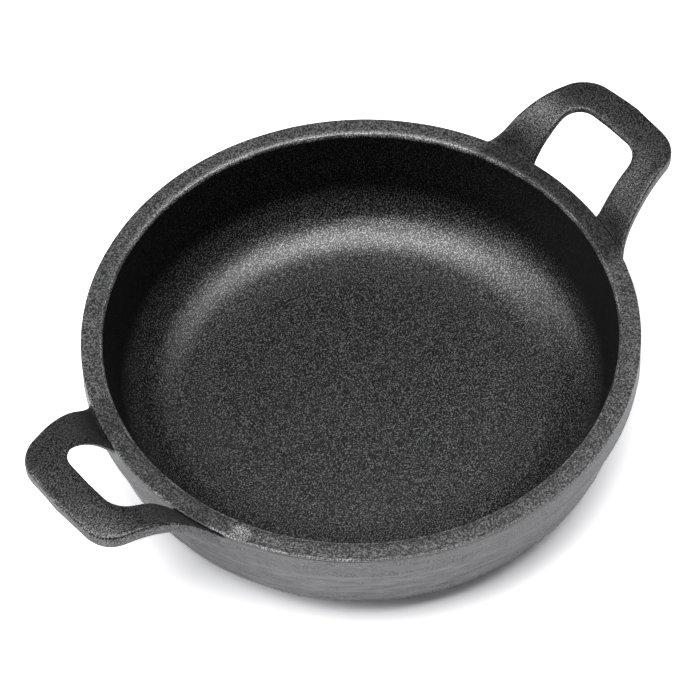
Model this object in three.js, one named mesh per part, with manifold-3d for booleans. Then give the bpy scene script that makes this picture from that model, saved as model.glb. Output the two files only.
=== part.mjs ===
// Cast iron baking dish: a round dish with a thick rim band and two raised loop handles.
// Millimetres, +Z up. The origin is the centre of the base's underside, and the handles lie along X.
// The real dish is one casting. It is divided here where the handle roots leave the rim band.
import * as THREE from 'three';
import { mergeVertices } from 'three/addons/utils/BufferGeometryUtils.js';
import Module from 'manifold-3d';

// Dish
const RIM_RADIUS = 80; // outside of the rim band
const RIM_WIDTH = 6; // flat top of the rim, with its rounded edges
const DISH_HEIGHT = 38; // base to rim
const FLOOR_THICKNESS = 4.5;
const BAND_HEIGHT = 7.5; // upright band under the rim, down to the mould line
const BAND_STEP = 0.4; // the wall sets back this much under the band
const OUTER_TAPER = 13.5; // degrees from upright
const INNER_TAPER = 11; // degrees from upright
const OUTER_CORNER = 20; // round between the wall and the base
const INNER_CORNER = 15; // round between the inner wall and the cooking floor
const RIM_OUTER_ROUND = 0.9;
const RIM_INNER_ROUND = 1.6;

// Handles
const HANDLE_REACH = 27.5; // how far a grip stands out past the rim
const HANDLE_RISE = 14.7; // top of a grip above the rim
const ROOT_DROP = 0.6; // top of a leg below the rim where it leaves the band
const ROOT_SLOPE = 65; // degrees that a leg climbs at its root
const GRIP_SLOPE = 12; // degrees that the grip still climbs at its edge
const STRAP_THICKNESS = 5;
const SIDE_UPRIGHT = 0.75; // 0 for sides square to the strap's top face, 1 for upright sides
const TOP_ROUND = 0.8; // edges of the strap's top face
const UNDER_ROUND = 3.5; // edges of its underside
const GRIP_WIDTH = 10.1; // the bar that is held, from its outer edge to the opening
const GRIP_BOW = 1.1; // outward bow of the grip's edges
const OPENING_ROOT_WIDTH = 27.6; // finger opening at the rim
const OPENING_GRIP_WIDTH = 26.5; // finger opening at the grip
const OPENING_CORNER = 6.6;
const LEG_ROOT_WIDTH = 12.8;
const LEG_GRIP_WIDTH = 5.8; // leg width where its sides would meet the grip's edge
const HANDLE_CORNER = 8.9;
const OUTER_FLARE = 5; // flare of a leg's outer side into the band, seen from above
const INNER_FLARE = 1; // flare of its inner side

// Division between the handles and the dish
const CAST_GAP = 0.3;

// Fineness of the facets
const ROUND_STEPS = 96; // around the dish
const ARC_STEPS = 7; // along each round of the dish's section
const STRAP_STEPS = 14; // along a leg
const CORNER_STEPS = 6; // around a corner of a handle
const SECTION_STEPS = 3; // around an edge of the strap
const SLOPE_STEP = 0.05; // distance over which the strap's slope is read
const MERGE_DISTANCE = 1e-4; // points nearer than this are one point

const wasm = await Module();
wasm.setup();

// Turns a closed geometry into a solid that can be cut and joined.
function toSolid(geometry) {
  geometry.deleteAttribute('normal');
  geometry.deleteAttribute('uv');
  const merged = mergeVertices(geometry, MERGE_DISTANCE);
  const mesh = new wasm.Mesh({
    numProp: 3,
    vertProperties: new Float32Array(merged.attributes.position.array),
    triVerts: new Uint32Array(merged.index.array),
  });
  return new wasm.Manifold(mesh);
}

function toGeometry(solid) {
  const mesh = solid.getMesh();
  const geometry = new THREE.BufferGeometry();
  geometry.setAttribute('position', new THREE.BufferAttribute(new Float32Array(mesh.vertProperties), 3));
  geometry.setIndex(new THREE.BufferAttribute(new Uint32Array(mesh.triVerts), 1));
  geometry.computeVertexNormals();
  return geometry;
}

// Points of an arc about (x, y), from one angle to another, in degrees.
function arc(x, y, radius, from, to) {
  return Array.from({ length: ARC_STEPS + 1 }, (_, i) => {
    const angle = THREE.MathUtils.degToRad(from + ((to - from) * i) / ARC_STEPS);
    return new THREE.Vector2(x + radius * Math.cos(angle), y + radius * Math.sin(angle));
  });
}

const tangent = (degrees) => Math.tan(THREE.MathUtils.degToRad(degrees));
const cosine = (degrees) => Math.cos(THREE.MathUtils.degToRad(degrees));
const sine = (degrees) => Math.sin(THREE.MathUtils.degToRad(degrees));

const BAND_BOTTOM = DISH_HEIGHT - BAND_HEIGHT;

// Radius of the tapered outer wall at a height.
function wallRadius(z) {
  return RIM_RADIUS - BAND_STEP - (BAND_BOTTOM - z) * tangent(OUTER_TAPER);
}

// Radius of the inner wall at a height.
function cavityRadius(z) {
  return RIM_RADIUS - RIM_WIDTH - (DISH_HEIGHT - z) * tangent(INNER_TAPER);
}

// Section of the dish from the middle of its underside, round the rim, to the middle of its floor.
function dishSection() {
  const cornerTop = OUTER_CORNER * (1 - sine(OUTER_TAPER));
  const cornerCentre = wallRadius(cornerTop) - OUTER_CORNER * cosine(OUTER_TAPER);
  const rimCentre = RIM_RADIUS - RIM_OUTER_ROUND;
  const lipHeight = DISH_HEIGHT - RIM_INNER_ROUND;
  const lipCentre = cavityRadius(lipHeight) + RIM_INNER_ROUND / cosine(INNER_TAPER);
  const filletTop = FLOOR_THICKNESS + INNER_CORNER * (1 - sine(INNER_TAPER));
  const filletCentre = cavityRadius(filletTop) - INNER_CORNER * cosine(INNER_TAPER);
  return [
    new THREE.Vector2(0, 0),
    ...arc(cornerCentre, OUTER_CORNER, OUTER_CORNER, -90, -OUTER_TAPER),
    new THREE.Vector2(wallRadius(BAND_BOTTOM - BAND_STEP), BAND_BOTTOM - BAND_STEP),
    new THREE.Vector2(RIM_RADIUS, BAND_BOTTOM),
    ...arc(rimCentre, DISH_HEIGHT - RIM_OUTER_ROUND, RIM_OUTER_ROUND, 0, 90),
    ...arc(lipCentre, lipHeight, RIM_INNER_ROUND, 90, 180 - INNER_TAPER),
    ...arc(filletCentre, FLOOR_THICKNESS + INNER_CORNER, INNER_CORNER, -INNER_TAPER, -90),
    new THREE.Vector2(0, FLOOR_THICKNESS),
  ];
}

// Everything inside the dish's outside, grown by the gap, and on up past the handles.
function rootCutter() {
  const top = DISH_HEIGHT + HANDLE_RISE + STRAP_THICKNESS;
  const section = [
    new THREE.Vector2(0, 0),
    new THREE.Vector2(wallRadius(0) + CAST_GAP, 0),
    new THREE.Vector2(wallRadius(BAND_BOTTOM - BAND_STEP) + CAST_GAP, BAND_BOTTOM - BAND_STEP - CAST_GAP),
    new THREE.Vector2(RIM_RADIUS + CAST_GAP, BAND_BOTTOM - CAST_GAP),
    new THREE.Vector2(RIM_RADIUS + CAST_GAP, top),
    new THREE.Vector2(0, top),
  ];
  return toSolid(new THREE.LatheGeometry(section, ROUND_STEPS).rotateX(Math.PI / 2));
}

// Half widths of the opening and of the whole handle, at the rim and at the grip.
const OPENING_ROOT = OPENING_ROOT_WIDTH / 2;
const OPENING_GRIP = OPENING_GRIP_WIDTH / 2;
const HANDLE_ROOT = OPENING_ROOT + LEG_ROOT_WIDTH;
const HANDLE_GRIP = OPENING_GRIP + LEG_GRIP_WIDTH;
const GRIP_EDGE = RIM_RADIUS + HANDLE_REACH - GRIP_BOW;
const UPRIGHT = new THREE.Vector3(0, 0, 1);

// Height of the strap's top face at a distance from the dish's axis: up steeply from the band, then over
// to a nearly level grip.
function strapHeight(distance) {
  const root = DISH_HEIGHT - ROOT_DROP;
  const grip = DISH_HEIGHT + HANDLE_RISE;
  const t = (distance - RIM_RADIUS) / HANDLE_REACH;
  if (t < 0) return root;
  const climb = (t ** 3 - 2 * t ** 2 + t) * HANDLE_REACH * tangent(ROOT_SLOPE);
  const level = (t ** 3 - t ** 2) * HANDLE_REACH * tangent(GRIP_SLOPE);
  const blend = 3 * t ** 2 - 2 * t ** 3;
  return root + (grip - root) * blend + climb + level;
}

// Points along one edge of a loop, seen from above, from inside the rim to the middle of its outer end.
// The edge flares into the band, away from the handle's middle where `flare` is above 0.
function halfLoop(rootHalf, gripHalf, end, corner, flare) {
  const meet = new THREE.Vector2(Math.sqrt(RIM_RADIUS ** 2 - rootHalf ** 2), rootHalf);
  const outer = new THREE.Vector2(end, gripHalf);
  const middle = new THREE.Vector2(end + GRIP_BOW, 0);
  const toOuter = outer.clone().sub(meet).normalize();
  const toMiddle = middle.clone().sub(outer).normalize();
  const flareHalf = rootHalf + flare;
  const flareFoot = new THREE.Vector2(Math.sqrt(RIM_RADIUS ** 2 - flareHalf ** 2), flareHalf);
  const flareTop = meet.clone().addScaledVector(toOuter, Math.abs(flare));
  const foot = new THREE.QuadraticBezierCurve(flareFoot, meet, flareTop).getPoints(CORNER_STEPS);
  // The corner's round touches both edges, so it starts this far from where they cross.
  const turn = Math.acos(THREE.MathUtils.clamp(toOuter.dot(toMiddle), -1, 1));
  const from = outer.clone().addScaledVector(toOuter, -corner * Math.tan(turn / 2));
  const centre = from.clone().add(new THREE.Vector2(toOuter.y, -toOuter.x).multiplyScalar(corner));
  const start = Math.atan2(from.y - centre.y, from.x - centre.x);
  const round = Array.from({ length: CORNER_STEPS + 1 }, (_, i) => {
    const angle = start - (turn * i) / CORNER_STEPS;
    return new THREE.Vector2(centre.x + corner * Math.cos(angle), centre.y + corner * Math.sin(angle));
  });
  const legPoint = (_, i) => flareTop.clone().lerp(from, (i + 1) / STRAP_STEPS);
  const leg = Array.from({ length: STRAP_STEPS - 1 }, legPoint);
  const buried = flareFoot.clone().setLength(RIM_RADIUS - RIM_WIDTH);
  return [buried, ...foot, ...leg, ...round, middle];
}

// The whole edge, on the strap's top face.
function loopEdge(half) {
  const mirrored = half.slice(0, -1).reverse();
  const plan = [...half, ...mirrored.map((point) => new THREE.Vector2(point.x, -point.y))];
  return plan.map((point) => new THREE.Vector3(point.x, point.y, strapHeight(point.length())));
}

// Section across the strap as [across, down] pairs: a flat top and a rounded underside.
function strapSection(width) {
  const quarter = (across, down, radius, from) =>
    Array.from({ length: SECTION_STEPS + 1 }, (_, i) => {
      const angle = THREE.MathUtils.degToRad(from + (90 * i) / SECTION_STEPS);
      return [across + radius * Math.cos(angle), down + radius * Math.sin(angle)];
    });
  const low = STRAP_THICKNESS - UNDER_ROUND;
  return [
    ...quarter(TOP_ROUND, TOP_ROUND, TOP_ROUND, 180),
    ...quarter(width - TOP_ROUND, TOP_ROUND, TOP_ROUND, 270),
    ...quarter(width - UNDER_ROUND, low, UNDER_ROUND, 0),
    ...quarter(UNDER_ROUND, low, UNDER_ROUND, 90),
  ];
}

// A handle on the +X side: sections lofted round the loop, then cut back from the dish.
function handleGeometry(cutter) {
  const outer = loopEdge(halfLoop(HANDLE_ROOT, HANDLE_GRIP, GRIP_EDGE, HANDLE_CORNER, OUTER_FLARE));
  const gap = halfLoop(OPENING_ROOT, OPENING_GRIP, GRIP_EDGE - GRIP_WIDTH, OPENING_CORNER, -INNER_FLARE);
  const inner = loopEdge(gap);
  const positions = [];
  let ring = 0;
  inner.forEach((edge, station) => {
    const across = outer[station].clone().sub(edge);
    const width = across.length();
    across.normalize();
    const middle = outer[station].clone().add(edge).setZ(0).divideScalar(2);
    const distance = middle.length();
    const rise = strapHeight(distance + SLOPE_STEP) - strapHeight(distance - SLOPE_STEP);
    const up = middle.setLength(-rise).setZ(2 * SLOPE_STEP).normalize();
    up.lerp(UPRIGHT, SIDE_UPRIGHT).addScaledVector(across, -up.dot(across)).normalize();
    const section = strapSection(width);
    ring = section.length;
    for (const [along, down] of section) {
      positions.push(...edge.clone().addScaledVector(across, along).addScaledVector(up, -down).toArray());
    }
  });
  const faces = [];
  const stations = inner.length;
  for (let s = 0; s + 1 < stations; s += 1) {
    for (let j = 0; j < ring; j += 1) {
      const next = (j + 1) % ring;
      const [a, b, c, d] = [s * ring + j, (s + 1) * ring + j, (s + 1) * ring + next, s * ring + next];
      faces.push(a, b, c, a, c, d);
    }
  }
  const last = (stations - 1) * ring;
  for (let j = 1; j + 1 < ring; j += 1) {
    faces.push(0, j, j + 1, last, last + j + 1, last + j);
  }
  const loft = new THREE.BufferGeometry();
  loft.setAttribute('position', new THREE.BufferAttribute(new Float32Array(positions), 3));
  loft.setIndex(faces);
  return toGeometry(toSolid(loft).subtract(cutter));
}

function castIron() {
  return new THREE.MeshStandardMaterial({ color: 0x2b2b2b, roughness: 0.62, metalness: 0.3 });
}

const dish = new THREE.Group();

const bowlGeometry = new THREE.LatheGeometry(dishSection(), ROUND_STEPS).rotateX(Math.PI / 2);
const bowl = new THREE.Mesh(bowlGeometry, castIron());
bowl.name = 'dish_bowl';
dish.add(bowl);

const cutter = rootCutter();
for (const [name, turn] of [['right_handle', 0], ['left_handle', Math.PI]]) {
  const handle = new THREE.Mesh(handleGeometry(cutter), castIron());
  handle.name = name;
  handle.rotation.z = turn;
  dish.add(handle);
}

export default dish;
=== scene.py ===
import math

import bpy
import bmesh
from mathutils import Matrix, Vector, noise


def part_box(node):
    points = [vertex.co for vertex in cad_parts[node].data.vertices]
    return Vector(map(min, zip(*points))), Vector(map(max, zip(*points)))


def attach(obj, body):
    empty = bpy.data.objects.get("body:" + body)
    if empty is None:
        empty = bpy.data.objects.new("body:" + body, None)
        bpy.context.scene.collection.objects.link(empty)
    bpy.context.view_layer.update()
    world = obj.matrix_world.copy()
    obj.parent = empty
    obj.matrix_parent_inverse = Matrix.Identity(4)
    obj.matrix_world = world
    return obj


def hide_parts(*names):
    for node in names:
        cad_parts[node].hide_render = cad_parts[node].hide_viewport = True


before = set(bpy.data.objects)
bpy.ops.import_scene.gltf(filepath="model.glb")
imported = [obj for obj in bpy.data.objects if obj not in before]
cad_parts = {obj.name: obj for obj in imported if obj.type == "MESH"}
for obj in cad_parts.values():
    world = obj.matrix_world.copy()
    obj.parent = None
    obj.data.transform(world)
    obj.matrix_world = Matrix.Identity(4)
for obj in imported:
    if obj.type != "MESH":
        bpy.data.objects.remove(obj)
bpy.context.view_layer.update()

# The looks of a cast iron baking dish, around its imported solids
# Sizes are in millimetres until a point is placed.
MM = 0.001
BOWL_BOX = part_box("dish_bowl")
HANDLE_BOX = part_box("right_handle")

# Dish
RIM_RADIUS = BOWL_BOX[1].x / MM
DISH_HEIGHT = BOWL_BOX[1].z / MM
RIM_WIDTH = 6.0
FLOOR_THICKNESS = 4.5
BAND_HEIGHT = 8.2  # upright band under the rim
BAND_STEP = 0.55  # the wall sets back this much under the band
OUTER_TAPER = math.radians(13.5)
INNER_TAPER = math.radians(11)
OUTER_CORNER = 17.0
INNER_CORNER = 18.0
RIM_EDGE_ROUND = 0.35
LIP_SHARE = 0.18  # share of the rim's width that slopes down to the cavity
LIP_DROP = 0.6
LIP_CURVE = 4.0
LIP_ROUND = 0.5
BEAD_OUT = 0.15  # bead along the band's lower edge
BEAD_ROUND = 0.4
BEAD_TOP = 1.5
BEAD_UNDER = 0.7
FLOOR_FLAT = 47.0  # radius within which the cooking floor is flat
FLOOR_RISE = 1.1
FLOOR_CURVE = 140.0
BEAD_HEIGHT = DISH_HEIGHT - BAND_HEIGHT
LIP_HEIGHT = DISH_HEIGHT - LIP_DROP

# Handles
HANDLE_REACH = HANDLE_BOX[1].x / MM - RIM_RADIUS
HANDLE_RISE = HANDLE_BOX[1].z / MM - DISH_HEIGHT
HANDLE_ARCH = 1.3  # the grip's middle stands this much higher than its ends
ROOT_DROP = 1.2  # top of a leg below the rim where it leaves the band
ROOT_SLOPE = math.radians(61.7)
GRIP_SLOPE = math.radians(-7)
STRAP_THICKNESS = 4.85
TOP_ROUND = 0.9
OUTER_UNDER_ROUND = 1.5
INNER_UNDERCUT = 3.6
UNDERCUT_PROFILE = 0.35
GRIP_WIDTH = 10.05
GRIP_BOW = 1.2
OPENING_BOW = 0.25
OPENING_ROOT = 13.9  # half of the finger opening at the rim
OPENING_GRIP = 13.3  # half of it at the grip
OPENING_CORNER = 6.4
LEG_ROOT_WIDTH = 13.7
LEG_GRIP_WIDTH = 5.9
HANDLE_CORNER = 9.8
OUTER_FLARE = 6.0
INNER_FLARE = 2.0
FOOT_SINK = 0.5  # the feet of the flares lie this far inside the band
ROOT_DEPTH = 3.5  # and the legs run on into it by this much
SIDE_FLARE = 0.65  # the strap is this much thicker at its roots
SIDE_FLARE_REACH = 18.0

# Unevenness left by the sand mould
BOWL_SWELL = 0.04
HANDLE_SWELL = 0.12
SWELL_SIZE = 8.0
STREAK_DEPTH = 0.08
STREAK_LENGTH = 14.0
STREAK_HEIGHT = 1.8

# Wear: a chip on the rim, and places on its edge, each with its reach, where bare metal shows
CHIP_ANGLE = math.radians(-155)
CHIP_RADIUS = 77.8
CHIP_SIZE = 3.6
CHIP_DEPTH = 0.3
WORN_PLACES = ((math.radians(-146), 24.0), (math.radians(180), 15.0))

# Fineness of the meshes
TURN_STEPS = 360
MIDDLE_RADIUS = 58.0  # within this, the bowl's points lie further apart
MIDDLE_STEP = 2.5
SECTION_STEP = 0.7
MERGE_DISTANCE = 0.01
ROUND_TURN = math.radians(4)
LEAST_TURN_STEPS = 3
FLARE_STEPS = 6
CORNER_STEPS = 14
LEG_STEPS = 24
BAR_STEPS = 18
ACROSS_STEPS = 8
ROUND_SEGMENTS = 4
UNDERCUT_SEGMENTS = 6

# How level a face lies, as the upright part of its normal
LEVEL = 0.9
NEARLY_FLAT = 0.99
FLAT = 0.999
UPRIGHT = 0.1
STANDING_FACE = -0.95  # faces turned down more than this are left even

# Sizes of the iron's patterns
GRAIN_SIZE = 0.42
GRAIN_DEPTH = 0.14
BLOTCH_SIZE = 0.6
STREAK_SIZE = 1.3
STREAK_SQUEEZE = (0.15, 0.15, 1.0)
WORN_PATCH_SIZE = 7.0
NICK_PATCH_SIZE = 5.0

# Ranges over which a pattern goes from nothing to all
SPECKLE_RANGE = (0.40, 0.66)
SPECK_RANGE = (0.46, 0.68)
RIM_SPECKLE_RANGE = (0.42, 0.66)
STREAK_RANGE = (0.35, 0.65)
WORN_PATCH_RANGE = (0.42, 0.60)
FLECK_RANGE = (0.46, 0.58)
CHIP_RANGE = (0.45, 0.62)
NICK_PATCH_RANGE = (0.48, 0.62)
NICK_RANGE = (0.52, 0.60)
POINTED_RANGE = (0.51, 0.54)

# Dark and light of the iron's grain or streaks, in each place; the band's are darker than the wall's, as
# painted shade
HANDLE_TONES = (0.002, 0.110)
RIM_TONES = (0.020, 0.255)
SHADED_BAND_TONES = (0.012, 0.076)
WALL_TONES = (0.010, 0.150)
CAVITY_TONES = (0.001, 0.120)
# near-black tone that painted shade mixes into the colour
PAINTED_SHADE_TONE = 0.001
# bare metal, also the colour of the painted highlight along the inner lip
BARE_METAL_AND_HIGHLIGHT_TONE = 0.6

# How far painted shade darkens a place: the cavity's steep wall, the legs' roots, the rim between a handle's
# legs, and the seam and crease under the rim's edge and the bead
STEEP_WALL_SHADE_DARKNESS = 0.80
ROOT_SHADE_DARKNESS = 0.45
LEFT_RIM_SHADE_DARKNESS = 0.32
RIGHT_RIM_SHADE_DARKNESS = 0.66
SEAM_SHADOW_DARKNESS = 0.8

# Share of gloss in each place, and what speckles and the cavity's steep wall change about it
HANDLE_GLOSS = 0.10
DISH_GLOSS = 0.15
WALL_GLOSS = 0.06
SPECKLE_GLOSS = 0.40
CAVITY_GLOSS = 0.28
SPECK_GLOSS = 0.72
STEEP_DULLNESS = 0.27
STEEP_SPECK_DULLNESS = 0.60
DULL_ROUGHNESS = 0.40
CAVITY_SMOOTHNESS = 0.16
DULL_SPECULAR = 0.2
GLOSS_ROUGHNESS = 0.20
GLOSS_IOR = 2.85

# Studio
FLOOR_SIZE = 6.0  # in metres
FLOOR_TONE = 0.9
FLOOR_MIRRORED = 1.75
FLOOR_SEEN = 2.5
SURROUND_LIGHT = 0.04
SURROUND_SEEN = 1.0

# Camera, as fitted to the photograph: it stands this far from the middle of the rim
SENSOR_WIDTH = 36.0
FOCAL_PIXELS = 3200
PICTURE_PIXELS = 700
CAMERA_DISTANCE = 913.6
CAMERA_ELEVATION = math.radians(51.8)
CAMERA_TURN = math.radians(-38.6)
CAMERA_YAW = math.radians(0.20)
CAMERA_PITCH = math.radians(-0.39)
CAMERA_ROLL = math.radians(-2.19)


# Modelling

def edit(piece):
    """Makes a piece the only selected one and opens it for editing, with nothing in it selected."""
    close_edit()
    bpy.ops.object.select_all(action="DESELECT")
    piece.select_set(True)
    bpy.context.view_layer.objects.active = piece
    bpy.ops.object.mode_set(mode="EDIT")
    bpy.ops.mesh.select_mode(type="VERT")
    bpy.ops.mesh.select_all(action="DESELECT")


def close_edit():
    if bpy.context.mode != "OBJECT":
        bpy.ops.object.mode_set(mode="OBJECT")


def new_piece(name):
    """A piece that starts as a small plane at the origin, open for editing."""
    close_edit()
    bpy.ops.object.select_all(action="DESELECT")
    bpy.ops.mesh.primitive_plane_add(size=MM)
    piece = bpy.context.object
    piece.name = name
    piece.data.name = name
    edit(piece)
    return piece


def draw_line(points, fresh):
    """Draws a line of edges through the points, in a fresh piece from the plane that the piece starts as."""
    bpy.ops.mesh.select_all(action="DESELECT")
    if fresh:
        bpy.ops.mesh.select_all(action="SELECT")
    else:
        bpy.ops.mesh.primitive_plane_add(size=MM)
    bpy.ops.mesh.merge(type="CENTER")
    bpy.ops.transform.translate(value=points[0] * MM)
    for before, after in zip(points, points[1:]):
        bpy.ops.mesh.extrude_vertices_move(TRANSFORM_OT_translate={"value": (after - before) * MM})


def arc(centre, radius, start, end, steps):
    """Points round a centre in the plane of the first two coordinates, between two angles."""
    angles = [start + (end - start) * step / steps for step in range(steps + 1)]
    return [Vector((centre[0] + radius * math.cos(a), centre[1] + radius * math.sin(a))) for a in angles]


def rounded(corners):
    """A line through corners, each a point with the radius of its round, or 0 where it stays sharp."""
    line = []
    for i, (x, y, radius) in enumerate(corners):
        corner = Vector((x, y))
        if not radius:
            line.append(corner)
            continue
        back = (Vector(corners[i - 1][:2]) - corner).normalized()
        on = (Vector(corners[i + 1][:2]) - corner).normalized()
        half = back.angle(on) / 2
        centre = corner + (back + on).normalized() * radius / math.sin(half)
        first = corner + back * radius / math.tan(half) - centre
        turn = math.copysign(math.pi - 2 * half, on.cross(back))
        steps = max(LEAST_TURN_STEPS, round(abs(turn) / ROUND_TURN))
        first_angle = math.atan2(first.y, first.x)
        line += arc(centre, radius, first_angle, first_angle + turn, steps)
    return line


def spaced(points):
    """The points of the bowl's section, with others between them, closer together away from the middle."""
    line = [points[0]]
    for before, after in zip(points, points[1:]):
        step = MIDDLE_STEP if max(before.x, after.x) < MIDDLE_RADIUS else SECTION_STEP
        count = max(1, math.ceil((after - before).length / step))
        line += [before.lerp(after, i / count) for i in range(1, count + 1)]
    return line


def outer_wall_radius(z):
    return RIM_RADIUS - BAND_STEP - (BEAD_HEIGHT - z) * math.tan(OUTER_TAPER)


def cavity_radius(z):
    return RIM_RADIUS - RIM_WIDTH - (DISH_HEIGHT - z) * math.tan(INNER_TAPER)


def bowl_section():
    """The bowl's section as radius and height, from the middle of its underside to that of its floor."""
    bead_foot = BEAD_HEIGHT - BEAD_UNDER
    floor_edge = FLOOR_THICKNESS + FLOOR_RISE
    middle_edge = MIDDLE_RADIUS - 1
    return rounded([
        (0, 0, 0),
        (middle_edge, 0, 0),
        (outer_wall_radius(0), 0, OUTER_CORNER),
        (outer_wall_radius(bead_foot), bead_foot, BEAD_ROUND),
        (RIM_RADIUS + BEAD_OUT, BEAD_HEIGHT, BEAD_ROUND),
        (RIM_RADIUS, BEAD_HEIGHT + BEAD_TOP, BEAD_TOP),
        (RIM_RADIUS, DISH_HEIGHT, RIM_EDGE_ROUND),
        (cavity_radius(LIP_HEIGHT) + RIM_WIDTH * LIP_SHARE, DISH_HEIGHT, LIP_CURVE),
        (cavity_radius(LIP_HEIGHT), LIP_HEIGHT, LIP_ROUND),
        (cavity_radius(floor_edge), floor_edge, INNER_CORNER),
        (FLOOR_FLAT, FLOOR_THICKNESS, FLOOR_CURVE),
        (0, FLOOR_THICKNESS, 0),
    ])


def cast_bowl():
    """The bowl: its section drawn once and spun about the upright axis."""
    piece = new_piece("cast_bowl")
    section = spaced(bowl_section())
    draw_line([Vector((point.x, 0, point.y)) for point in section], True)
    bpy.ops.mesh.select_all(action="SELECT")
    bpy.ops.mesh.spin(steps=TURN_STEPS, angle=math.tau, center=(0, 0, 0), axis=(0, 0, 1))
    bpy.ops.mesh.select_all(action="SELECT")
    bpy.ops.mesh.remove_doubles(threshold=MERGE_DISTANCE * MM)
    bpy.ops.mesh.normals_make_consistent(inside=False)
    close_edit()
    return piece


def strap_height(out, aside):
    """Height of a handle's top face, at a distance out from the band and aside from the handle's middle."""
    root = DISH_HEIGHT - ROOT_DROP
    t = out / HANDLE_REACH
    if t < 0:
        return root
    climb = (t ** 3 - 2 * t ** 2 + t) * HANDLE_REACH * math.tan(ROOT_SLOPE)
    level = (t ** 3 - t ** 2) * HANDLE_REACH * math.tan(GRIP_SLOPE)
    rise = (HANDLE_RISE + ROOT_DROP - HANDLE_ARCH) * (3 * t ** 2 - 2 * t ** 3)
    arch = HANDLE_ARCH * max(0, 1 - (aside / (OPENING_GRIP + LEG_GRIP_WIDTH)) ** 2) * t
    return root + rise + climb + level + arch


def loop_edge(root_half, grip_half, end, bow, corner, flare):
    """One edge of a handle seen from above, from inside the band round the grip and back."""
    meet = Vector((math.sqrt(RIM_RADIUS ** 2 - root_half ** 2), root_half))
    outer = Vector((end, grip_half))
    middle = Vector((end + bow, 0))
    to_outer = (outer - meet).normalized()
    to_middle = (middle - outer).normalized()
    foot_half = root_half + flare
    foot = Vector((math.sqrt((RIM_RADIUS - FOOT_SINK) ** 2 - foot_half ** 2), foot_half))
    flare_top = meet + to_outer * abs(flare)
    shares = [i / FLARE_STEPS for i in range(FLARE_STEPS + 1)]
    flare_line = [foot.lerp(meet, s).lerp(meet.lerp(flare_top, s), s) for s in shares]
    turn = to_outer.angle(to_middle)
    corner_start = outer - to_outer * corner * math.tan(turn / 2)
    centre = corner_start + Vector((to_outer.y, -to_outer.x)) * corner
    first = math.atan2(corner_start.y - centre.y, corner_start.x - centre.x)
    corner_line = arc(centre, corner, first, first - turn, CORNER_STEPS)
    leg = [flare_top.lerp(corner_start, i / LEG_STEPS) for i in range(1, LEG_STEPS)]
    bar = [corner_line[-1].lerp(middle, i / BAR_STEPS) for i in range(1, BAR_STEPS + 1)]
    buried = foot * (1 - ROOT_DEPTH / RIM_RADIUS)
    half = [buried, *flare_line, *leg, *corner_line, *bar]
    return half + [Vector((point.x, -point.y)) for point in reversed(half[:-1])]


def select_edges(piece, wanted):
    """Selects the edges between two faces for which wanted(edge, upper face, lower face) is true."""
    bpy.ops.mesh.select_mode(type="EDGE")
    bpy.ops.mesh.select_all(action="DESELECT")
    mesh = bmesh.from_edit_mesh(piece.data)
    for edge in mesh.edges:
        faces = sorted(edge.link_faces, key=lambda face: -face.normal.z)
        edge.select = len(faces) == 2 and wanted(edge, *faces)
    bmesh.update_edit_mesh(piece.data)


def round_strap(piece):
    """Rounds a flat strap's edges: small rounds on top and outside, and a deep one under its opening."""
    middle = Vector((RIM_RADIUS + HANDLE_REACH / 2, 0, 0)) * MM
    buried_radius = RIM_RADIUS - 1

    def long_edge(edge):
        return any(vertex.co.xy.length > buried_radius * MM for vertex in edge.verts)

    def faces_opening(edge, side):
        return side.normal.dot(edge.verts[0].co - middle) < 0

    def on_top(edge, upper, lower):
        return upper.normal.z > LEVEL > lower.normal.z and long_edge(edge)

    def outside_under(edge, upper, lower):
        meets_side = lower.normal.z < -LEVEL < upper.normal.z
        return meets_side and long_edge(edge) and not faces_opening(edge, upper)

    def opening_under(edge, upper, lower):
        meets_side = lower.normal.z < -NEARLY_FLAT and -UPRIGHT < upper.normal.z < UPRIGHT
        return meets_side and long_edge(edge) and faces_opening(edge, upper)

    def across_strap(edge, upper, lower):
        return min(abs(upper.normal.z), abs(lower.normal.z)) > FLAT

    select_edges(piece, on_top)
    bpy.ops.mesh.bevel(offset=TOP_ROUND * MM, segments=ROUND_SEGMENTS, affect="EDGES")
    select_edges(piece, outside_under)
    bpy.ops.mesh.bevel(offset=OUTER_UNDER_ROUND * MM, segments=ROUND_SEGMENTS, affect="EDGES")
    select_edges(piece, opening_under)
    bpy.ops.mesh.bevel(offset=INNER_UNDERCUT * MM, segments=UNDERCUT_SEGMENTS, profile=UNDERCUT_PROFILE,
                       affect="EDGES")
    select_edges(piece, across_strap)
    bpy.ops.mesh.subdivide(number_cuts=ACROSS_STEPS - 1)


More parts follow.
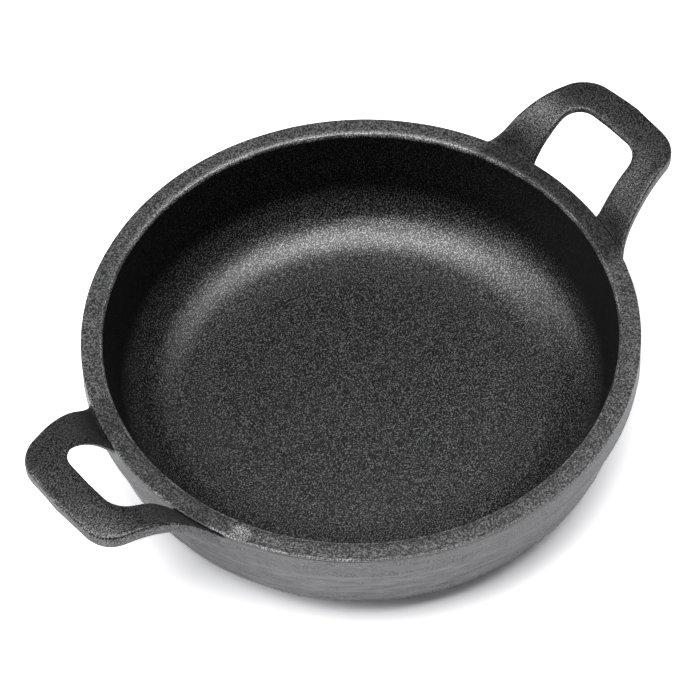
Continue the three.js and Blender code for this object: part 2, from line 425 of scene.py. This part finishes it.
def cast_handle():
    """The handle on the +X side: a flat loop given its thickness and rounds, then lifted to its curve."""
    piece = new_piece("right_cast_handle")
    grip_edge = RIM_RADIUS + HANDLE_REACH - GRIP_BOW
    inner = loop_edge(OPENING_ROOT, OPENING_GRIP, grip_edge - GRIP_WIDTH, OPENING_BOW,
                      OPENING_CORNER, -INNER_FLARE)
    outer = loop_edge(OPENING_ROOT + LEG_ROOT_WIDTH, OPENING_GRIP + LEG_GRIP_WIDTH, grip_edge, GRIP_BOW,
                      HANDLE_CORNER, OUTER_FLARE)
    draw_line([point.to_3d() for point in inner], True)
    draw_line([point.to_3d() for point in outer], False)
    bpy.ops.mesh.select_all(action="SELECT")
    bpy.ops.mesh.bridge_edge_loops()
    bpy.ops.mesh.select_all(action="SELECT")
    bpy.ops.mesh.extrude_region_move(TRANSFORM_OT_translate={"value": (0, 0, -STRAP_THICKNESS * MM)})
    bpy.ops.mesh.select_all(action="SELECT")
    bpy.ops.mesh.normals_make_consistent(inside=False)
    round_strap(piece)
    close_edit()
    for vertex in piece.data.vertices:
        out = vertex.co.xy.length / MM - RIM_RADIUS
        under = -vertex.co.z / MM / STRAP_THICKNESS
        flare = max(0, 1 - max(0, out) / SIDE_FLARE_REACH) ** 2
        vertex.co.z += (strap_height(out, vertex.co.y / MM) - SIDE_FLARE * flare * under) * MM
    return piece


def make_uneven(piece, swell):
    """Moves a piece's points along their normals, by the swell and the streaks that a sand mould leaves."""
    normals = [vertex.normal.copy() for vertex in piece.data.vertices]
    for vertex, normal in zip(piece.data.vertices, normals):
        if normal.z < STANDING_FACE:
            continue
        spot = vertex.co / MM
        outward = max(0, spot.xy.normalized().dot(normal.xy))
        lengthwise = spot.xy / STREAK_LENGTH
        streak = noise.noise(Vector((lengthwise.x, lengthwise.y, spot.z / STREAK_HEIGHT)))
        vertex.co += normal * (swell * noise.noise(spot / SWELL_SIZE) + STREAK_DEPTH * outward * streak) * MM


def rim_point(angle, radius):
    return Vector((radius * math.cos(angle), radius * math.sin(angle), DISH_HEIGHT))


def chip_rim(piece):
    """Presses a shallow chip into the rim."""
    chip = rim_point(CHIP_ANGLE, CHIP_RADIUS)
    for vertex in piece.data.vertices:
        away = (vertex.co / MM - chip).length / CHIP_SIZE
        if away < 1:
            vertex.co.z -= CHIP_DEPTH * (1 - away ** 2) ** 2 * MM


def turned_copy(piece, name):
    """A copy of a piece with its own mesh, turned half round the upright axis."""
    bpy.ops.object.select_all(action="DESELECT")
    piece.select_set(True)
    bpy.context.view_layer.objects.active = piece
    bpy.ops.object.duplicate()
    copy = bpy.context.object
    copy.name = name
    copy.data.name = name
    bpy.ops.transform.rotate(value=math.pi, orient_axis="Z", center_override=(0, 0, 0))
    bpy.ops.object.transform_apply()
    return copy


# Finish

class Value:
    """A number in a finish's nodes: arithmetic on it adds Math nodes."""

    def __init__(self, finish, socket):
        self.finish = finish
        self.socket = socket

    def math(self, operation, first, second=0.0):
        return self.finish.node("ShaderNodeMath", {"operation": operation}, {0: first, 1: second})

    def __add__(self, other):
        return self.math("ADD", self, other)

    __radd__ = __add__

    def __sub__(self, other):
        return self.math("SUBTRACT", self, other)

    def __rsub__(self, other):
        return self.math("SUBTRACT", other, self)

    def __mul__(self, other):
        return self.math("MULTIPLY", self, other)

    __rmul__ = __mul__

    def __truediv__(self, other):
        return self.math("DIVIDE", self, other)

    def __pow__(self, other):
        return self.math("POWER", self, other)

    def __abs__(self):
        return self.math("ABSOLUTE", self)

    def highest(self, other):
        return self.math("MAXIMUM", self, other)

    def ramp(self, low, high):
        """0 below low, 1 above high, and smooth between them. With low above high it falls instead."""
        settings = {"interpolation_type": "SMOOTHSTEP"}
        return self.finish.node("ShaderNodeMapRange", settings, {0: self, 1: low, 2: high, 3: 0.0, 4: 1.0})

    def ramp_mm(self, low, high):
        """The same for a length, between two lengths in millimetres."""
        return self.ramp(low * MM, high * MM)


class Finish:
    """The nodes of a material or a world, which node() adds one at a time."""

    def __init__(self, owner):
        owner.use_nodes = True
        self.owner = owner
        self.tree = owner.node_tree
        self.tree.nodes.clear()

    def node(self, kind, settings=None, inputs=None, output=0):
        made = self.tree.nodes.new(kind)
        for name, value in (settings or {}).items():
            setattr(made, name, value)
        for name, value in (inputs or {}).items():
            if isinstance(value, Value):
                self.tree.links.new(value.socket, made.inputs[name])
            else:
                made.inputs[name].default_value = value
        return Value(self, made.outputs[output]) if made.outputs else made

    def noise(self, place, size, detail, roughness):
        """Noise whose blotches are about this many millimetres across."""
        inputs = {"Vector": place, "Scale": 1 / (size * MM), "Detail": detail, "Roughness": roughness}
        return self.node("ShaderNodeTexNoise", None, inputs)

    def distance(self, place, point):
        settings = {"operation": "DISTANCE"}
        return self.node("ShaderNodeVectorMath", settings, {0: place, 1: point * MM}, "Value")

    def mix_colour(self, share, first, second):
        settings = {"data_type": "RGBA"}
        return self.node("ShaderNodeMix", settings, {0: share, 6: first, 7: second}, 2)

    def light_path(self, ray):
        return self.node("ShaderNodeLightPath", None, None, ray)


def grey(level):
    """A very slightly cool grey."""
    return (level, level, level * 1.02, 1.0)


class SeasonedIron(Finish):
    """Matt black iron with the grain of sand casting, worn along its edges, with painted shade on the
    cavity's steep wall, at the legs' roots and in lines under the rim and the bead, and a painted highlight
    along the inner lip.
    """

    def __init__(self):
        super().__init__(bpy.data.materials.new("seasoned_iron"))
        self.place = self.node("ShaderNodeTexCoord", None, None, "Object")
        parts = self.node("ShaderNodeSeparateXYZ", None, {0: self.place})
        self.x, self.y, self.z = (Value(self, socket) for socket in parts.socket.node.outputs)
        self.radius = (self.x * self.x + self.y * self.y) ** 0.5
        self.find_places()
        self.make_patterns()

    def find_places(self):
        """Masks for the cavity, its steep wall, the dish without handles, its side and its outer wall."""
        edge = (RIM_RADIUS - RIM_WIDTH + 1.0) * MM - (DISH_HEIGHT * MM - self.z) * 0.2
        in_cavity = ((edge - self.radius) / (0.6 * MM) + 0.5).ramp(0, 1)
        above_base = self.z.ramp_mm(FLOOR_THICKNESS - 0.6, FLOOR_THICKNESS - 0.3)
        below_lip = self.z.ramp_mm(DISH_HEIGHT - 0.5, DISH_HEIGHT - 1.2)
        self.inside = in_cavity * above_base * below_lip
        self.steep = self.inside * self.z.ramp_mm(FLOOR_THICKNESS + 7, FLOOR_THICKNESS + 16)
        self.on_dish = self.radius.ramp_mm(RIM_RADIUS + 0.7, RIM_RADIUS + 0.3)
        self.below_rim = self.z.ramp_mm(DISH_HEIGHT - 0.4, DISH_HEIGHT - 0.9) * (1 - self.inside)
        self.below_band = self.z.ramp_mm(BEAD_HEIGHT + 0.5, BEAD_HEIGHT - 0.5)

    def make_patterns(self):
        """The grain all over, the speckles that it makes, and the streaks along the band and the wall."""
        self.grain = self.noise(self.place, GRAIN_SIZE, 2.0, 0.6)
        self.speckle = self.grain.ramp(*SPECKLE_RANGE)
        self.specks = self.grain.ramp(*SPECK_RANGE)
        self.blotches = self.noise(self.place, BLOTCH_SIZE, 1.0, 0.5)
        self.rim_speckle = (self.grain * 0.7 + self.blotches * 0.3).ramp(*RIM_SPECKLE_RANGE)
        along = self.node("ShaderNodeMapping", None, {"Vector": self.place, "Scale": STREAK_SQUEEZE})
        self.streaks = self.noise(along, STREAK_SIZE, 3.0, 0.6).ramp(*STREAK_RANGE)

    def painted_root_and_rim_shade(self):
        """How far painted shade darkens the hollows at the legs' roots and the rim between a handle's legs,
        more on the +X side.
        """
        root_y = OPENING_ROOT + LEG_ROOT_WIDTH / 2
        root_x = math.sqrt(RIM_RADIUS ** 2 - root_y ** 2)
        one_quarter = self.node("ShaderNodeCombineXYZ", None, {0: abs(self.x), 1: abs(self.y), 2: self.z})
        from_root = self.distance(one_quarter, Vector((root_x, root_y, DISH_HEIGHT)))
        roots = from_root.ramp_mm(9, 3) * ROOT_SHADE_DARKNESS
        # painted shade on the rim between a handle's legs, deeper towards +X
        rim_shade = LEFT_RIM_SHADE_DARKNESS + self.x.ramp_mm(-60, 60) * (RIGHT_RIM_SHADE_DARKNESS - LEFT_RIM_SHADE_DARKNESS)
        on_top = self.z.ramp_mm(DISH_HEIGHT - 1.0, DISH_HEIGHT - 0.7) * self.on_dish
        return roots.highest(abs(self.y).ramp_mm(32, 26) * rim_shade * on_top)

    def painted_shadow_lines(self):
        """How far painted shadow lines darken the seam under the rim's outer edge and the crease under the
        bead.
        """
        # painted shadow under the rim's outer edge and under the bead's undercut
        seam = self.z.ramp_mm(DISH_HEIGHT - 1.3, DISH_HEIGHT - 0.9) * self.below_rim * self.on_dish
        crease_height = BEAD_HEIGHT - BEAD_UNDER
        crease = self.z.ramp_mm(crease_height - 0.9, crease_height - 0.3)
        crease = crease * self.z.ramp_mm(crease_height + 0.5, crease_height + 0.1) * (1 - self.inside)
        return (seam * (0.4 + self.blotches) * SEAM_SHADOW_DARKNESS).highest(crease * (0.1 + self.streaks * 0.4))

    def rim_wear_and_lip_highlight(self):
        """Bare metal on the rim: flecks along its outer edge, most of them in the worn places, and a chip.
        The flecks along the inner lip are partly wear and partly a painted highlight.
        """
        patches = self.noise(self.place, WORN_PATCH_SIZE, 2.0, 0.5).ramp(*WORN_PATCH_RANGE)
        worn = patches * 0.15
        for angle, reach in WORN_PLACES:
            from_worn = self.distance(self.place, rim_point(angle, RIM_RADIUS))
            nearby = from_worn.ramp_mm(reach * 1.1, reach * 0.8)
            worn = worn.highest(nearby * (0.1 + patches * 0.9))
        outer_edge = self.radius.ramp_mm(RIM_RADIUS - 0.8, RIM_RADIUS - 0.3)
        outer_edge = outer_edge * self.radius.ramp_mm(RIM_RADIUS + 0.5, RIM_RADIUS + 0.2)
        outer_edge = outer_edge * self.z.ramp_mm(DISH_HEIGHT - 0.6, DISH_HEIGHT - 0.2)
        # the inner lip's bright flecks: partly wear, partly a painted highlight
        lip_radius = cavity_radius(LIP_HEIGHT)
        lip_wear_and_highlight = self.radius.ramp_mm(lip_radius - 0.4, lip_radius)
        lip_wear_and_highlight = lip_wear_and_highlight * self.radius.ramp_mm(lip_radius + 0.9, lip_radius + 0.4)
        lip_wear_and_highlight = lip_wear_and_highlight * self.z.ramp_mm(DISH_HEIGHT - 1.6, DISH_HEIGHT - 1.0)
        flecks = (outer_edge * worn).highest(lip_wear_and_highlight * (0.25 + patches * 0.45)) * self.grain.ramp(*FLECK_RANGE)
        from_chip = self.distance(self.place, rim_point(CHIP_ANGLE, CHIP_RADIUS))
        chip = from_chip.ramp_mm(CHIP_SIZE, CHIP_SIZE * 0.5) * self.grain.ramp(*CHIP_RANGE)
        return flecks.highest(chip * self.z.ramp_mm(DISH_HEIGHT - 1.0, DISH_HEIGHT - 0.6))

    def worn_handles(self):
        """Flecks of bare metal in patches along the handles' edges."""
        pointed = self.node("ShaderNodeNewGeometry", None, None, "Pointiness").ramp(*POINTED_RANGE)
        patches = self.noise(self.place, NICK_PATCH_SIZE, 2.0, 0.5).ramp(*NICK_PATCH_RANGE)
        return pointed * (1 - self.on_dish) * patches * self.grain.ramp(*NICK_RANGE) * 0.6

    def two_tones(self, share, tones):
        return self.mix_colour(share, grey(tones[0]), grey(tones[1]))

    def colour(self, painted_shade):
        handle = self.two_tones(self.speckle, HANDLE_TONES)
        rim = self.two_tones(self.rim_speckle, RIM_TONES)
        # painted shade: the band's tones are darker than the wall's
        band = self.two_tones(self.streaks, SHADED_BAND_TONES)
        wall = self.two_tones(self.streaks, WALL_TONES)
        # painted shade: the cavity's steep wall is darkened
        cavity = self.two_tones(self.specks * (1 - self.steep * STEEP_WALL_SHADE_DARKNESS), CAVITY_TONES)
        side = self.mix_colour(self.below_band, band, wall)
        dish = self.mix_colour(self.below_rim, rim, side)
        outside = self.mix_colour(self.on_dish, handle, dish)
        clean = self.mix_colour(self.inside, outside, cavity)
        # painted shade: the colour is darkened towards a near-black tone
        shaded_colour = self.mix_colour(painted_shade, clean, grey(PAINTED_SHADE_TONE))
        # bare metal, with the painted highlight along the inner lip
        worn = self.rim_wear_and_lip_highlight().highest(self.worn_handles())
        return self.mix_colour(worn, shaded_colour, grey(BARE_METAL_AND_HIGHLIGHT_TONE))

    def gloss(self):
        dish = self.on_dish * (DISH_GLOSS + self.below_band * WALL_GLOSS)
        outside = HANDLE_GLOSS + dish + self.speckle * SPECKLE_GLOSS
        steep_dullness = self.steep * (STEEP_DULLNESS + self.specks * STEEP_SPECK_DULLNESS)
        cavity = CAVITY_GLOSS + self.specks * SPECK_GLOSS - steep_dullness
        return outside * (1 - self.inside) + cavity * self.inside


def seasoned_iron():
    """The iron's material: a dull and a glossy surface of one colour and grain, mixed by their gloss."""
    iron = SeasonedIron()
    # painted shade at the legs' roots and on the rim between the legs darkens both colour and gloss
    root_and_rim_shade = iron.painted_root_and_rim_shade()
    # painted shadow lines under the rim's edge and the bead darken colour and gloss
    shadow_lines = iron.painted_shadow_lines()
    colour = iron.colour(root_and_rim_shade.highest(shadow_lines))
    gloss = iron.gloss() * (1 - root_and_rim_shade) * (1 - shadow_lines)
    height = iron.grain * (0.9 + iron.inside * 0.1)
    bump = iron.node("ShaderNodeBump", None, {
        "Strength": 1.0, "Distance": GRAIN_DEPTH * MM, "Height": height})
    dull = iron.node("ShaderNodeBsdfPrincipled", None, {
        "Base Color": colour, "Roughness": DULL_ROUGHNESS - iron.inside * CAVITY_SMOOTHNESS,
        "Specular IOR Level": DULL_SPECULAR, "Normal": bump})
    glossy = iron.node("ShaderNodeBsdfPrincipled", None, {
        "Base Color": colour, "Roughness": GLOSS_ROUGHNESS, "IOR": GLOSS_IOR, "Normal": bump})
    surface = iron.node("ShaderNodeMixShader", None, {0: gloss, 1: dull, 2: glossy})
    iron.node("ShaderNodeOutputMaterial", None, {"Surface": surface})
    return iron.owner


# Studio

def pale_floor_finish():
    """A white floor that keeps the shadow. The camera and reflections see it overexposed."""
    finish = Finish(bpy.data.materials.new("pale_floor"))
    mirrored = finish.mix_colour(finish.light_path("Is Glossy Ray"), grey(FLOOR_TONE), grey(FLOOR_MIRRORED))
    colour = finish.mix_colour(finish.light_path("Is Camera Ray"), mirrored, grey(FLOOR_SEEN))
    surface = finish.node("ShaderNodeBsdfDiffuse", None, {"Color": colour})
    finish.node("ShaderNodeOutputMaterial", None, {"Surface": surface})
    return finish.owner


def pale_floor():
    close_edit()
    bpy.ops.object.select_all(action="DESELECT")
    bpy.ops.mesh.primitive_plane_add(size=FLOOR_SIZE)
    floor = bpy.context.object
    floor.name = "floor"
    floor.data.materials.append(pale_floor_finish())


def white_world():
    """A surround that the camera sees as white, and that hardly lights the dish."""
    finish = Finish(bpy.data.worlds.new("studio"))
    colour = finish.mix_colour(finish.light_path("Is Camera Ray"), grey(SURROUND_LIGHT), grey(SURROUND_SEEN))
    surround = finish.node("ShaderNodeBackground", None, {"Color": colour})
    finish.node("ShaderNodeOutputWorld", None, {"Surface": surround})
    bpy.context.scene.world = finish.owner


def softbox(name, right, away, up, width, height, turn, radiance):
    """A lamp that faces the dish, placed in metres, and turned, as from the camera."""
    lamp = bpy.data.lights.new(name, "AREA")
    lamp.shape = "RECTANGLE"
    lamp.size = width
    lamp.size_y = height
    lamp.energy = radiance * math.pi * width * height
    holder = bpy.data.objects.new(name, lamp)
    bpy.context.scene.collection.objects.link(holder)
    camera_turn = Matrix.Rotation(CAMERA_TURN, 3, "Z")
    place = camera_turn @ Vector((right, away, up))
    back = place.normalized()
    across = camera_turn @ Vector((math.cos(turn), math.sin(turn), 0))
    side = (across - back * across.dot(back)).normalized()
    facing = Matrix((side, back.cross(side), back)).transposed()
    holder.matrix_world = Matrix.Translation(place) @ facing.to_4x4()


def photo_camera():
    data = bpy.data.cameras.new("photo_camera")
    data.sensor_width = SENSOR_WIDTH
    data.lens = FOCAL_PIXELS * SENSOR_WIDTH / PICTURE_PIXELS
    data.clip_start = 0.01
    camera = bpy.data.objects.new("photo_camera", data)
    bpy.context.scene.collection.objects.link(camera)
    facing = Matrix.Rotation(CAMERA_TURN, 4, "Z") @ Matrix.Rotation(math.pi / 2 - CAMERA_ELEVATION, 4, "X")
    aim = (Matrix.Rotation(CAMERA_YAW, 4, "Y") @ Matrix.Rotation(CAMERA_PITCH, 4, "X")
           @ Matrix.Rotation(CAMERA_ROLL, 4, "Z"))
    rim_middle = Matrix.Translation(Vector((0, 0, DISH_HEIGHT * MM)))
    camera.matrix_world = rim_middle @ facing @ Matrix.Translation((0, 0, CAMERA_DISTANCE * MM)) @ aim
    bpy.context.scene.camera = camera


photo_camera()
white_world()
pale_floor()
softbox("overhead_softbox", right=-0.08, away=-0.13, up=1.3, width=2.0, height=0.9,
        turn=math.radians(12), radiance=3.5)
softbox("left_panel", right=-0.95, away=-0.02, up=0.5, width=0.8, height=0.3,
        turn=math.radians(90), radiance=2.5)
bpy.context.scene.view_settings.view_transform = "Standard"

# The dish
bowl = cast_bowl()
make_uneven(bowl, BOWL_SWELL)
chip_rim(bowl)
right_handle = cast_handle()
make_uneven(right_handle, HANDLE_SWELL)
left_handle = turned_copy(right_handle, "left_cast_handle")
iron = seasoned_iron()
for piece, node in ((bowl, "dish_bowl"), (right_handle, "right_handle"), (left_handle, "left_handle")):
    piece.data.materials.append(iron)
    piece.data.shade_smooth()
    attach(piece, "root")
    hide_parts(node)
